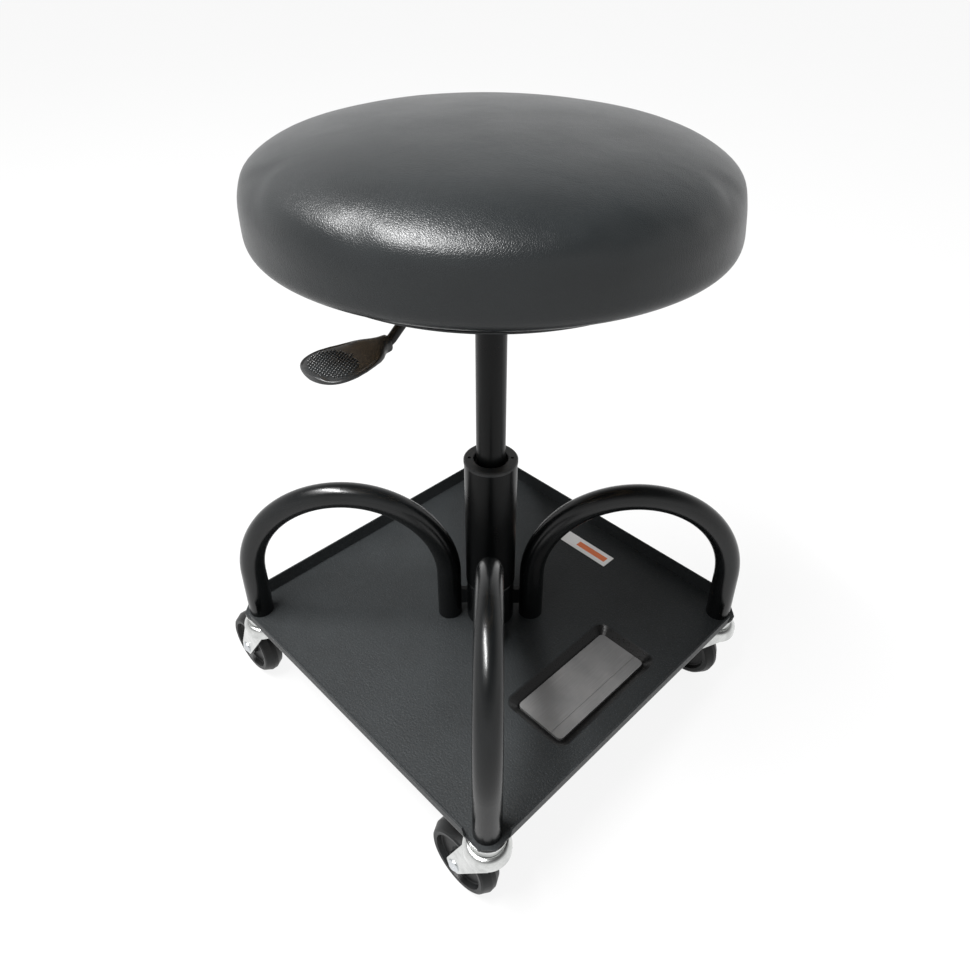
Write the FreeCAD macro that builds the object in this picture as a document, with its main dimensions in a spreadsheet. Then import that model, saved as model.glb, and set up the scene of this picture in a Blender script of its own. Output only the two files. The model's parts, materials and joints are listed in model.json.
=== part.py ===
import FreeCAD, Part
import math
import os
import Sketcher

# Adjustable swivel stool on a square castered tray. Millimetres, +Z up, the tray's sides along
# X and Y, origin on the floor under the gas lift. Height lever towards -Y, parts dish towards +X.

DOC = FreeCAD.newDocument("swivel_stool")
SHEET = DOC.addObject("Spreadsheet::Sheet", "Sizes")
DIAGONAL = math.sqrt(2.0)
DOME = "dome"
BOWL = "bowl"
CORNERS = {"front": (1, -1), "right": (1, 1), "back": (-1, 1), "left": (-1, -1)}

DRIVING = [
    # casters
    ("wheel_dia", 75.0), ("wheel_width", 22.0), ("wheel_tread", 11.0), ("wheel_rim", 9.5),
    ("wheel_web", 11.0), ("wheel_boss_dia", 21.0), ("wheel_bore", 12.0), ("wheel_shoulder", 4.0),
    ("bush_overhang", 0.7), ("caster_trail", 28.0), ("axle_dia", 8.0), ("axle_head_dia", 13.0),
    ("axle_head", 3.0), ("fork_inside", 25.0), ("fork_sheet", 2.5), ("fork_eye", 9.0),
    ("crown_dia", 43.0), ("crown_drop", 12.0), ("crown_round", 6.0), ("crown_sheet", 3.0),
    ("race_dia", 32.0), ("race_lift", 10.0), ("race_lip", 1.6), ("race_ball", 4.0),
    ("race_circle", 24.0), ("race_gap", 1.0), ("stem_dia", 10.0), ("stem_head_dia", 19.0),
    ("stem_head", 3.5), ("stem_reach", 26.0), ("stem_hole_gap", 0.1),
    # tray
    ("tray_top", 110.0), ("tray_sheet", 2.0), ("tray_side", 386.0), ("tray_corner", 10.0),
    ("lip_rise", 15.0), ("lip_lean", 3.0), ("lip_end", 27.0), ("lip_round", 0.8),
    ("dish_place", 132.0), ("dish_length", 150.0), ("dish_width", 76.0), ("dish_round", 12.0),
    ("dish_depth", 8.0), ("dish_slope", 10.0), ("dish_floor_round", 5.0), ("dish_edge", 1.5),
    ("pad_thick", 3.0), ("pad_gap", 0.3), ("pad_groove", 1.0), ("pad_groove_depth", 0.5),
    ("pad_groove_place", 16.0), ("label_length", 71.0), ("label_width", 19.0),
    ("label_thick", 0.3), ("label_x", 8.5), ("label_y", 151.5),
    # arches and hub
    ("arch_dia", 25.4), ("arch_wall", 2.0), ("arch_inner", 43.6), ("arch_outer", 249.3),
    ("arch_straight", 56.7), ("insert_length", 30.0), ("hub_dia", 50.0), ("hub_rise", 51.0),
    ("lug_wide", 5.0), ("lug_low", 14.0), ("lug_tall", 20.0),
    # gas lift
    ("tube_dia", 51.4), ("tube_bore", 46.0), ("tube_top", 312.0), ("tube_foot", 90.0),
    ("tube_floor", 3.0), ("taper_top_dia", 46.8), ("taper_foot_dia", 45.6), ("taper_bore", 41.6),
    ("bush_flange", 4.0), ("bush_flange_dia", 52.4), ("bush_bevel", 1.2), ("bush_length", 78.0),
    ("bush_mouth_dia", 33.0), ("bush_mouth", 6.0), ("notch_dia", 3.2), ("notch_depth", 2.5),
    ("notch_place", 20.5), ("lift_dia", 28.0), ("lift_wall", 2.0), ("lift_foot", 240.0),
    ("lift_end", 514.0), ("lift_plug", 22.0), ("lift_taper", 17.0), ("lift_taper_dia", 27.2),
    ("slide_gap", 0.05), ("gland_length", 18.0), ("rod_dia", 10.0), ("rod_foot_dia", 8.0),
    ("rod_tail", 8.0), ("piston_gap", 3.0), ("piston_length", 12.0), ("washer_dia", 28.0),
    ("washer_thick", 2.0), ("thrust_ball", 3.5), ("thrust_circle", 18.0), ("roll_gap", 0.02),
    ("bumper_dia", 24.0), ("bumper_tall", 12.0), ("clip_dia", 18.0), ("clip_thick", 1.5),
    ("pin_dia", 6.0), ("pin_stand", 5.0), ("pin_reach", 26.0), ("pin_crown", 1.0),
    # seat mechanism
    ("plate_top", 530.0), ("plate_sheet", 3.0), ("plate_side", 180.0), ("plate_corner", 14.0),
    ("bolt_place", 64.0), ("bolt_dia", 6.4), ("bolt_head_dia", 12.0), ("bolt_head", 4.0),
    ("bolt_length", 14.0), ("nut_barrel_dia", 9.0), ("nut_flange_dia", 18.0),
    ("nut_flange", 1.5), ("socket_dia", 42.0), ("socket_tall", 33.0), ("chamber_dia", 32.0),
    ("window_wide", 19.0), ("window_tall", 12.0), ("lever_x", 4.0), ("pivot_y", 32.0),
    ("pivot_z", 518.0), ("pivot_dia", 5.0), ("barrel_dia", 11.0), ("barrel_wide", 15.0),
    ("cheek_thick", 2.5), ("cheek_gap", 0.3), ("cheek_long", 20.0), ("cheek_drop", 17.0),
    ("tongue_wide", 14.0), ("tongue_thick", 2.5), ("tongue_reach", 8.0), ("tongue_gap", 0.5),
    ("lever_dia", 8.0), ("lever_level", 36.0), ("lever_slope", 44.0), ("lever_drop", 36.0),
    ("lever_bend", 14.0), ("lever_grip", 20.0), ("paddle_start", 114.0), ("paddle_length", 68.0),
    ("paddle_wide", 39.0), ("paddle_neck", 15.0), ("paddle_thick", 11.0), ("paddle_round", 3.0),
    ("paddle_rim", 1.5), ("paddle_field", 0.8), ("paddle_tail", 20.0), ("paddle_flank", 90.0),
    # seat
    ("seat_dia", 380.0), ("seat_tall", 98.2), ("seat_widest", 34.7), ("shoulder_inset", 26.0),
    ("shoulder_tall", 79.5), ("hem_inset", 34.0), ("board_inset", 40.0), ("board_thick", 12.0),
    ("hem_turn", 52.0), ("side_low_round", 37.0), ("side_high_round", 62.0),
    ("cover_thick", 1.2), ("cover_gap", 0.3),
]


class Length:
    """A length that keeps both its number and the sheet expression it comes from."""

    def __init__(self, value, text):
        self.value = value
        self.text = text

    def __add__(self, other):
        other = length(other)
        return Length(self.value + other.value, "(%s + %s)" % (self.text, other.text))

    def __sub__(self, other):
        other = length(other)
        return Length(self.value - other.value, "(%s - %s)" % (self.text, other.text))

    def __mul__(self, factor):
        return Length(self.value * factor, "(%s * %.12f)" % (self.text, factor))

    def __truediv__(self, factor):
        return Length(self.value / factor, "(%s / %.12f)" % (self.text, factor))

    def scaled(self, by, over):
        """This length times the ratio of two others."""
        return Length(self.value * by.value / over.value,
                      "(%s * %s / %s)" % (self.text, by.text, over.text))

    def __neg__(self):
        return Length(-self.value, "(0 - %s)" % self.text)


def length(number):
    """Any number as a Length."""
    if isinstance(number, Length):
        return number
    return Length(float(number), "(%.6f)" % number)


class Sizes:
    """The driving dimensions, one attribute for each spreadsheet cell."""


def fill_sheet():
    """Write the driving dimensions to the sheet and return them as Lengths."""
    sizes = Sizes()
    for row, (alias, value) in enumerate(DRIVING, start=1):
        SHEET.set("A%d" % row, alias)
        SHEET.set("B%d" % row, str(value))
        SHEET.setAlias("B%d" % row, alias)
        setattr(sizes, alias, Length(value, "Sizes." + alias))
    DOC.recompute()
    return sizes


S = fill_sheet()

# ---------------------------------------------------------------- sketches and features


def origin_feature(body, role):
    """The body's own origin plane or axis with this role."""
    for feature in body.Origin.OriginFeatures:
        if feature.Role == role:
            return feature


def new_body(name):
    """An empty body that carries the sub-part's name."""
    body = DOC.addObject("PartDesign::Body", name)
    body.Label = name
    return body


def new_sketch(body, name, plane, level=None):
    """A sketch on one of the body's planes, moved along the plane's normal by level."""
    sketch = body.newObject("Sketcher::SketchObject", name)
    sketch.AttachmentSupport = [(origin_feature(body, plane), "")]
    sketch.MapMode = "FlatFace"
    if level is not None:
        sketch.setExpression("AttachmentOffset.Base.z", level.text)
    return sketch


def pin_point(sketch, geometry, position, point):
    """Fix one sketch point at its two coordinates, each bound to the sheet."""
    for kind, axis, value in (("DistanceX", -2, point[0]), ("DistanceY", -1, point[1])):
        value = length(value)
        if abs(value.value) < 1e-9:
            sketch.addConstraint(Sketcher.Constraint("PointOnObject", geometry, position, axis))
            continue
        index = sketch.addConstraint(
            Sketcher.Constraint(kind, -1, 1, geometry, position, value.value))
        sketch.setExpression("Constraints[%d]" % index, value.text)


def arc_between(start, end, bend):
    """Arc from start to end and whether it turns right.

    The bend is a radius, positive for a left turn, or DOME or BOWL: a left or right turn about a
    centre on the vertical axis.
    """
    first = FreeCAD.Vector(start[0].value, start[1].value, 0)
    last = FreeCAD.Vector(end[0].value, end[1].value, 0)
    chord = last - first
    if bend in (DOME, BOWL):
        side = 1 if bend == DOME else -1
        height = (last.dot(last) - first.dot(first)) / 2 / (last.y - first.y)
        centre = FreeCAD.Vector(0, height, 0)
    else:
        side = 1 if bend.value > 0 else -1
        rise = math.sqrt(max(bend.value ** 2 - chord.Length ** 2 / 4, 0.0))
        normal = FreeCAD.Vector(-chord.y, chord.x, 0).normalize() * side
        centre = first + chord * 0.5 + normal * rise
    circle = Part.Circle(centre, FreeCAD.Vector(0, 0, 1), (first - centre).Length)
    angles = [math.atan2(p.y - centre.y, p.x - centre.x) for p in (first, last)]
    if side < 0:
        angles.reverse()
    if angles[1] <= angles[0]:
        angles[1] += 2 * math.pi
    return Part.ArcOfCircle(circle, angles[0], angles[1]), side < 0


def draw_outline(sketch, corners, closed=True):
    """Lines and arcs through corners (x, y) or (x, y, radius of the arc to the next one)."""
    points = [(length(c[0]), length(c[1])) for c in corners]
    count = len(corners) if closed else len(corners) - 1
    ends = []
    for i in range(count):
        start = points[i]
        end = points[(i + 1) % len(points)]
        if len(corners[i]) == 3:
            bend = corners[i][2]
            arc, turned = arc_between(start, end, bend)
            index = sketch.addGeometry(arc)
            ends.append((index, 2, 1) if turned else (index, 1, 2))
            if bend in (DOME, BOWL):
                sketch.addConstraint(Sketcher.Constraint("PointOnObject", index, 3, -2))
            else:
                at = sketch.addConstraint(Sketcher.Constraint("Radius", index, abs(bend.value)))
                sign = "" if bend.value > 0 else "-1 * "
                sketch.setExpression("Constraints[%d]" % at, sign + bend.text)
        else:
            line = Part.LineSegment(FreeCAD.Vector(start[0].value, start[1].value, 0),
                                    FreeCAD.Vector(end[0].value, end[1].value, 0))
            ends.append((sketch.addGeometry(line), 1, 2))
        pin_point(sketch, ends[-1][0], ends[-1][1], start)
    for i in range(count if closed else count - 1):
        here = ends[i]
        after = ends[(i + 1) % count]
        sketch.addConstraint(
            Sketcher.Constraint("Coincident", here[0], here[2], after[0], after[1]))
    if not closed:
        pin_point(sketch, ends[-1][0], ends[-1][2], points[-1])


def draw_circle(sketch, x, y, diameter):
    """A circle whose centre and diameter follow the sheet."""
    x, y, diameter = length(x), length(y), length(diameter)
    centre = FreeCAD.Vector(x.value, y.value, 0)
    index = sketch.addGeometry(Part.Circle(centre, FreeCAD.Vector(0, 0, 1), diameter.value / 2))
    pin_point(sketch, index, 3, (x, y))
    at = sketch.addConstraint(Sketcher.Constraint("Diameter", index, diameter.value))
    sketch.setExpression("Constraints[%d]" % at, diameter.text)


def rounded_box(x, y, wide, tall, radius):
    """Outline of a rectangle with rounded corners, centred on x, y."""
    left, right = length(x) - wide / 2, length(x) + wide / 2
    low, high = length(y) - tall / 2, length(y) + tall / 2
    return [(left + radius, low), (right - radius, low, radius), (right, low + radius),
            (right, high - radius, radius), (right - radius, high), (left + radius, high, radius),
            (left, high - radius), (left, low + radius, radius)]


def plain_box(x, y, wide, tall):
    """Outline of a rectangle centred on x, y."""
    left, right = length(x) - wide / 2, length(x) + wide / 2
    low, high = length(y) - tall / 2, length(y) + tall / 2
    return [(left, low), (right, low), (right, high), (left, high)]


def revolve(body, corners):
    """Turn an (r, z) outline about the body's Z axis."""
    sketch = new_sketch(body, "Section", "XZ_Plane")
    draw_outline(sketch, corners)
    feature = body.newObject("PartDesign::Revolution", "Turned")
    feature.Profile = sketch
    feature.ReferenceAxis = (sketch, ["V_Axis"])
    feature.Angle = 360
    sketch.Visibility = False
    return feature


def pad(body, corners, plane, level, depth, centred=False):
    """Raise an outline along the plane's normal."""
    sketch = new_sketch(body, "Outline", plane, level)
    draw_outline(sketch, corners)
    feature = body.newObject("PartDesign::Pad", "Raised")
    feature.Profile = sketch
    feature.Midplane = centred
    feature.setExpression("Length", length(depth).text)
    return feature


def bore(body, x, y, diameter, plane, level, depth, centred=False):
    """Cut a round hole; it runs against the plane's normal, or both ways when centred."""
    sketch = new_sketch(body, "Bore", plane, level)
    draw_circle(sketch, x, y, diameter)
    feature = body.newObject("PartDesign::Pocket", "Drilled")
    feature.Profile = sketch
    feature.Midplane = centred
    feature.setExpression("Length", length(depth).text)
    return feature


def loft(body, kind, lower, upper):
    """Additive or subtractive loft between two (corners, level) sections."""
    sections = []
    for corners, level in (lower, upper):
        sketch = new_sketch(body, "Section", "XY_Plane", level)
        draw_outline(sketch, corners)
        sections.append(sketch)
    feature = body.newObject("PartDesign::" + kind, "Pressed")
    feature.Profile = sections[0]
    feature.Sections = [sections[1]]
    feature.Ruled = True
    return feature


def round_edges(body, base, radius, chosen):
    """Fillet the edges of base for which chosen(edge) is true."""
    DOC.recompute()
    names = ["Edge%d" % i for i, edge in enumerate(base.Shape.Edges, start=1) if chosen(edge)]
    feature = body.newObject("PartDesign::Fillet", "Rounded")
    feature.Base = (base, names)
    feature.setExpression("Radius", length(radius).text)
    return feature


def place(obj, x=0, y=0, z=0, axis=None, degrees=0):
    """Put an object at x, y, z, each bound to the sheet, turned by degrees about axis."""
    if axis is not None:
        obj.Placement = FreeCAD.Placement(FreeCAD.Vector(), FreeCAD.Rotation(axis, degrees))
    for name, value in (("x", x), ("y", y), ("z", z)):
        value = length(value)
        if abs(value.value) > 1e-9:
            obj.setExpression("Placement.Base." + name, value.text)


def turned(name, corners):
    """A sub-part made on a lathe."""
    body = new_body(name)
    revolve(body, corners)
    return body


def ring(name, inner_dia, outer_dia, low, high):
    """A plain ring or sleeve."""
    inner, outer = length(inner_dia) / 2, length(outer_dia) / 2
    return turned(name, [(inner, low), (outer, low), (outer, high), (inner, high)])


def ball_ring(name, count, ball_dia, circle_dia, x, y, z):
    """A circle of loose balls, one solid each, in one node."""
    balls = []
    for i in range(count):
        angle = 2 * math.pi * i / count
        ball = DOC.addObject("Part::Sphere", name + "_ball")
        ball.setExpression("Radius", (ball_dia / 2).text)
        place(ball, circle_dia * (math.cos(angle) / 2) + x, circle_dia * (math.sin(angle) / 2) + y, z)
        balls.append(ball)
    group = DOC.addObject("Part::Compound", name)
    group.Links = balls
    group.Label = name
    return group


PARTS = []

# ---------------------------------------------------------------- casters

TRAY_FOOT = S.tray_top - S.tray_sheet
CORNER = S.arch_outer / DIAGONAL
WHEEL_AXLE = S.wheel_dia / 2
RACE_FOOT = TRAY_FOOT - S.race_lift
CROWN_TOP = RACE_FOOT - S.race_gap
CROWN_INSIDE = CROWN_TOP - S.crown_sheet
STEM_HEAD_TOP = CROWN_INSIDE - S.race_gap / 5


def caster_stem(name, x, y):
    """Kingpin: head under the crown, shank up through race and tray into the leg."""
    shank = S.stem_dia / 2
    head = S.stem_head_dia / 2
    body = turned(name, [
        (0, STEM_HEAD_TOP - S.stem_head), (head - 1, STEM_HEAD_TOP - S.stem_head),
        (head, STEM_HEAD_TOP - S.stem_head + 1), (head, STEM_HEAD_TOP), (shank, STEM_HEAD_TOP),
        (shank, S.tray_top + S.stem_reach - 1), (shank - 1, S.tray_top + S.stem_reach),
        (0, S.tray_top + S.stem_reach)])
    place(body, x, y)
    return body


def caster_race(name, x, y):
    """Upper race: a disc under the tray with a groove that holds the balls."""
    bore_side = S.stem_dia / 2
    outer = S.race_dia / 2
    groove_in = S.race_circle / 2 - S.race_ball / 2 - 0.3
    groove_out = S.race_circle / 2 + S.race_ball / 2 + 0.3
    ceiling = CROWN_TOP + S.race_ball + S.roll_gap * 2
    body = turned(name, [
        (bore_side, RACE_FOOT), (groove_in, RACE_FOOT), (groove_in, ceiling),
        (groove_out, ceiling), (groove_out, RACE_FOOT), (outer - 0.5, RACE_FOOT),
        (outer, RACE_FOOT + 0.5), (outer, TRAY_FOOT - S.race_lip),
        (outer + S.race_lip, TRAY_FOOT - S.race_lip), (outer + S.race_lip, TRAY_FOOT),
        (bore_side, TRAY_FOOT)])
    place(body, x, y)
    return body


def caster_fork(name, x, y):
    """Pressed fork: a round crown with a rolled shoulder, and two cheeks that trail to the axle."""
    body = new_body(name)
    outer = S.crown_dia / 2
    inner = outer - S.fork_sheet
    foot = CROWN_TOP - S.crown_drop
    hole = S.stem_dia / 2 + S.slide_gap
    revolve(body, [
        (hole, CROWN_INSIDE), (inner - S.crown_round + S.fork_sheet, CROWN_INSIDE,
                               -(S.crown_round - S.fork_sheet)),
        (inner, CROWN_INSIDE - S.crown_round + S.fork_sheet), (inner, foot), (outer, foot),
        (outer, CROWN_TOP - S.crown_round, S.crown_round), (outer - S.crown_round, CROWN_TOP),
        (hole, CROWN_TOP)])
    reach = S.crown_dia * 0.3
    eye = S.fork_eye
    back = -S.caster_trail
    cheek = [(reach, CROWN_INSIDE + S.crown_sheet / 2), (-reach, CROWN_INSIDE + S.crown_sheet / 2),
             (-(reach + 4), foot), (back - eye * 0.96, WHEEL_AXLE + eye * 0.28, eye),
             (back + eye * 0.6, WHEEL_AXLE - eye * 0.8), (reach + 3, foot)]
    pad(body, cheek, "XZ_Plane", S.fork_inside / 2, S.fork_sheet)
    mirror = body.newObject("PartDesign::Mirrored", "OtherCheek")
    mirror.Originals = [body.Tip]
    mirror.MirrorPlane = (origin_feature(body, "XZ_Plane"), [""])
    body.Tip = mirror
    bore(body, back, WHEEL_AXLE, S.axle_dia, "XZ_Plane", None, S.fork_inside * 2, True)
    place(body, x, y)
    return body


def caster_axle(name, x, y):
    """Riveted axle across the fork, domed at both ends."""
    half = S.fork_inside / 2 + S.fork_sheet
    shaft = S.axle_dia / 2
    head = S.axle_head_dia / 2
    body = turned(name, [
        (0, -half - S.axle_head), (head * 0.5, -half - S.axle_head * 0.9),
        (head, -half - S.axle_head * 0.25), (head, -half), (shaft, -half), (shaft, half),
        (head, half), (head, half + S.axle_head * 0.25), (head * 0.5, half + S.axle_head * 0.9),
        (0, half + S.axle_head)])
    place(body, x - S.caster_trail, y, WHEEL_AXLE, FreeCAD.Vector(1, 0, 0), 90)
    return body


def caster_bush(name, x, y):
    """Sleeve pressed in the wheel that runs on the axle."""
    half = S.wheel_width / 2 + S.bush_overhang
    body = ring(name, S.axle_dia + S.slide_gap * 2, S.wheel_bore, -half, half)
    place(body, x - S.caster_trail, y, WHEEL_AXLE, FreeCAD.Vector(1, 0, 0), 90)
    return body


def caster_wheel(name, x, y):
    """Solid wheel: narrow tread with rolled shoulders, thick rim, thin web, hub boss."""
    radius = S.wheel_dia / 2
    tread = S.wheel_tread / 2
    side = S.wheel_width / 2
    web = S.wheel_web / 2
    rim_in = radius - S.wheel_rim
    boss = S.wheel_boss_dia / 2
    hole = S.wheel_bore / 2
    shoulder = S.wheel_shoulder
    right = [(radius - 0.6, tread - 2), (radius - shoulder, side - 1.2),
             (radius - shoulder - 2, side), (rim_in, side - 0.4), (rim_in - 1.6, web + 0.6),
             (rim_in - 2.4, web), (boss + 1.5, web), (boss, web + 1.5), (boss - 0.8, side)]
    left = [(r, -z) for r, z in reversed(right)]
    body = turned(name, [(hole, -side)] + left + [(radius, -tread + 3), (radius, tread - 3)]
                  + right + [(hole, side)])
    place(body, x - S.caster_trail, y, WHEEL_AXLE, FreeCAD.Vector(1, 0, 0), 90)
    return body


def make_casters():
    """One full caster under each corner, all trailing the same way."""
    for corner, (sx, sy) in CORNERS.items():
        x, y = CORNER * sx, CORNER * sy
        PARTS.append(caster_stem(corner + "_caster_stem", x, y))
        PARTS.append(caster_race(corner + "_caster_race", x, y))
        PARTS.append(ball_ring(corner + "_caster_balls", 12, S.race_ball, S.race_circle, x, y,
                               CROWN_TOP + S.race_ball / 2 + S.roll_gap))
        PARTS.append(caster_fork(corner + "_caster_fork", x, y))
        PARTS.append(caster_axle(corner + "_caster_axle", x, y))
        PARTS.append(caster_bush(corner + "_caster_bush", x, y))
        PARTS.append(caster_wheel(corner + "_caster_wheel", x, y))


# ---------------------------------------------------------------- tray

DISH_FOOT = S.tray_top - S.dish_depth


def is_dish_edge(edge):
    """True for the edges where the dish meets the tray floor."""
    box = edge.BoundBox
    level = box.ZLength < 0.001 and abs(box.ZMin - S.tray_top.value) < 0.001
    return (level and box.XMin > (S.dish_place - S.dish_width / 2).value - 0.1
            and box.XMax < (S.dish_place + S.dish_width / 2).value + 0.1
            and box.YMax < (S.dish_length / 2).value + 0.1)


def tray():
    """Square sheet tray: cut corners, leaning lips on four sides, a pressed dish, five holes."""
    body = new_body("tray")
    half = S.tray_side / 2
    cut = S.tray_corner
    sheet = [(-half, -half + cut), (-half + cut, -half), (half - cut, -half), (half, -half + cut),
             (half, half - cut), (half - cut, half), (-half + cut, half), (-half, half - cut)]
    pad(body, sheet, "XY_Plane", TRAY_FOOT, S.tray_sheet)
    top = S.tray_top + S.lip_rise
    lip = [(half - S.tray_sheet, TRAY_FOOT), (half, TRAY_FOOT), (half + S.lip_lean, top),
           (half + S.lip_lean - S.tray_sheet, top)]
    feature = pad(body, lip, "XZ_Plane", None, S.tray_side - S.lip_end * 2, True)
    lips = body.newObject("PartDesign::PolarPattern", "Lips")
    lips.Originals = [feature]
    lips.Axis = (origin_feature(body, "Z_Axis"), [""])
    lips.Angle = 360
    lips.Occurrences = 4
    body.Tip = lips
    round_edges(body, lips, S.lip_round, lambda edge: edge.BoundBox.ZMin > top.value - 0.01)
    floor_wide = S.dish_width - S.dish_slope * 2
    floor_long = S.dish_length - S.dish_slope * 2
    wall = S.tray_sheet * 2
    loft(body, "AdditiveLoft",
         (rounded_box(S.dish_place, 0, floor_wide + wall, floor_long + wall,
                      S.dish_floor_round), DISH_FOOT - S.tray_sheet),
         (rounded_box(S.dish_place, 0, S.dish_width + wall, S.dish_length + wall,
                      S.dish_round), TRAY_FOOT))
    loft(body, "SubtractiveLoft",
         (rounded_box(S.dish_place, 0, floor_wide, floor_long, S.dish_floor_round), DISH_FOOT),
         (rounded_box(S.dish_place, 0, S.dish_width, S.dish_length, S.dish_round), S.tray_top))
    round_edges(body, body.Tip, S.dish_edge, is_dish_edge)
    bore(body, 0, 0, S.taper_foot_dia + 2, "XY_Plane", S.tray_top, S.tray_sheet * 2)
    for sx, sy in CORNERS.values():
        bore(body, CORNER * sx, CORNER * sy, S.stem_dia + S.stem_hole_gap * 2, "XY_Plane",
             S.tray_top, S.tray_sheet * 2)
    return body


def dish_pad():
    """Steel-faced magnet that lies in the dish, with a scored line along its outer side."""
    body = new_body("magnet_pad")
    wide = S.dish_width - S.dish_slope * 2 - S.pad_gap * 2
    long_side = S.dish_length - S.dish_slope * 2 - S.pad_gap * 2
    pad(body, rounded_box(S.dish_place, 0, wide, long_side, S.dish_floor_round - S.pad_gap),
        "XY_Plane", DISH_FOOT, S.pad_thick)
    sketch = new_sketch(body, "Score", "XY_Plane", DISH_FOOT + S.pad_thick)
    draw_outline(sketch, plain_box(S.dish_place + S.pad_groove_place, 0, S.pad_groove,
                                   long_side * 1.2))
    groove = body.newObject("PartDesign::Pocket", "Groove")
    groove.Profile = sketch
    groove.setExpression("Length", S.pad_groove_depth.text)
    return body


def label():
    """Blank sticker on the tray floor."""
    body = new_body("label")
    pad(body, plain_box(S.label_x, S.label_y, S.label_length, S.label_width), "XY_Plane",
        S.tray_top, S.label_thick)
    return body


# ---------------------------------------------------------------- arches and hub

ARCH_RADIUS = (S.arch_outer - S.arch_inner) / 2


def arch(name, quarter):
    """One bent tube: straight leg by the hub, half circle, straight leg over the caster."""
    body = new_body(name)
    spring_line = S.tray_top + S.arch_straight
    for kind, diameter in (("AdditivePipe", S.arch_dia),
                           ("SubtractivePipe", S.arch_dia - S.arch_wall * 2)):
        section = new_sketch(body, "Section", "XY_Plane", S.tray_top)
        draw_circle(section, S.arch_inner, 0, diameter)
        path = new_sketch(body, "Path", "XZ_Plane")
        draw_outline(path, [(S.arch_inner, S.tray_top), (S.arch_inner, spring_line, -ARCH_RADIUS),
                            (S.arch_inner + ARCH_RADIUS, spring_line + ARCH_RADIUS, -ARCH_RADIUS),
                            (S.arch_outer, spring_line), (S.arch_outer, S.tray_top)], False)
        feature = body.newObject("PartDesign::" + kind, "Bent")
        feature.Profile = section
        feature.Spine = (path, ["Edge%d" % i for i in range(1, 5)])
    place(body, axis=FreeCAD.Vector(0, 0, 1), degrees=quarter)
    return body


def leg_inserts():
    """Four plugs in the outer legs that take the caster stems."""
    plugs = []
    for sx, sy in CORNERS.values():
        plug = ring("leg_insert", S.stem_dia, S.arch_dia - S.arch_wall * 2, S.tray_top,
                    S.tray_top + S.insert_length)
        place(plug, CORNER * sx, CORNER * sy)
        plugs.append(plug)
    group = DOC.addObject("Part::Compound", "leg_inserts")
    group.Links = plugs
    group.Label = "leg_inserts"
    return group


def hub():
    """Tapered hub welded to the tray, with a lug out to the inner leg of each arch."""
    hub_top = S.tray_top + S.hub_rise
    mouth = S.taper_top_dia / 2
    foot = mouth - ((S.taper_top_dia - S.taper_foot_dia) / 2).scaled(
        S.hub_rise, hub_top - S.tube_foot)
    barrel = turned("hub_barrel", [
        (foot, S.tray_top), (S.hub_dia / 2, S.tray_top), (S.hub_dia / 2, hub_top - 1),
        (S.hub_dia / 2 - 0.8, hub_top), (mouth, hub_top)])
    pieces = [barrel]
    cutters = []
    for i in range(4):
        turn = FreeCAD.Rotation(FreeCAD.Vector(0, 0, 1), 45 + 90 * i)
        lug = DOC.addObject("Part::Box", "hub_lug")
        lug.setExpression("Length", (S.arch_inner - S.hub_dia / 2 + 1).text)
        lug.setExpression("Width", S.lug_wide.text)
        lug.setExpression("Height", S.lug_tall.text)
        near = (S.hub_dia / 2 - 1).value
        lug.Placement = FreeCAD.Placement(
            turn.multVec(FreeCAD.Vector(near, -S.lug_wide.value / 2, 0))
            + FreeCAD.Vector(0, 0, (S.tray_top + S.lug_low).value), turn)
        pieces.append(lug)
        leg = DOC.addObject("Part::Cylinder", "hub_leg_seat")
        leg.setExpression("Radius", (S.arch_dia / 2).text)
        leg.setExpression("Height", (S.hub_rise * 2).text)
        leg.Placement = FreeCAD.Placement(
            turn.multVec(FreeCAD.Vector(S.arch_inner.value, 0, 0))
            + FreeCAD.Vector(0, 0, S.tray_top.value), turn)
        cutters.append(leg)
    whole = DOC.addObject("Part::MultiFuse", "hub_whole")
    whole.Shapes = pieces
    legs = DOC.addObject("Part::MultiFuse", "hub_legs")
    legs.Shapes = cutters
    cut = DOC.addObject("Part::Cut", "hub")
    cut.Base = whole
    cut.Tool = legs
    cut.Label = "hub"
    return cut


# ---------------------------------------------------------------- gas lift

HUB_TOP = S.tray_top + S.hub_rise
FLANGE_TOP = S.tube_top + S.bush_flange
BUSH_FOOT = FLANGE_TOP - S.bush_flange - S.bush_length
TUBE_FLOOR = S.tube_foot + S.tube_floor
THRUST_FOOT = TUBE_FLOOR + S.washer_thick
THRUST_TOP = THRUST_FOOT + S.thrust_ball + S.roll_gap * 2
ROD_SHOULDER = THRUST_TOP + S.washer_thick
GLAND_TOP = S.lift_foot + S.gland_length
PISTON_FOOT = GLAND_TOP + S.piston_gap


def outer_tube():
    """Outer tube of the gas lift: its tapered foot wedges in the hub and ends in a floor."""
    outer = S.tube_dia / 2
    bore_side = S.tube_bore / 2
    lower = S.taper_bore / 2
    return turned("outer_tube", [
        (S.rod_foot_dia / 2 + S.slide_gap, S.tube_foot), (S.taper_foot_dia / 2, S.tube_foot),
        (S.taper_top_dia / 2, HUB_TOP), (outer - 0.8, HUB_TOP), (outer, HUB_TOP + 1),
        (outer, S.tube_top), (bore_side, S.tube_top), (bore_side, HUB_TOP + 4),
        (lower, HUB_TOP - 2), (lower, TUBE_FLOOR), (S.rod_foot_dia / 2 + S.slide_gap, TUBE_FLOOR)])


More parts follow.
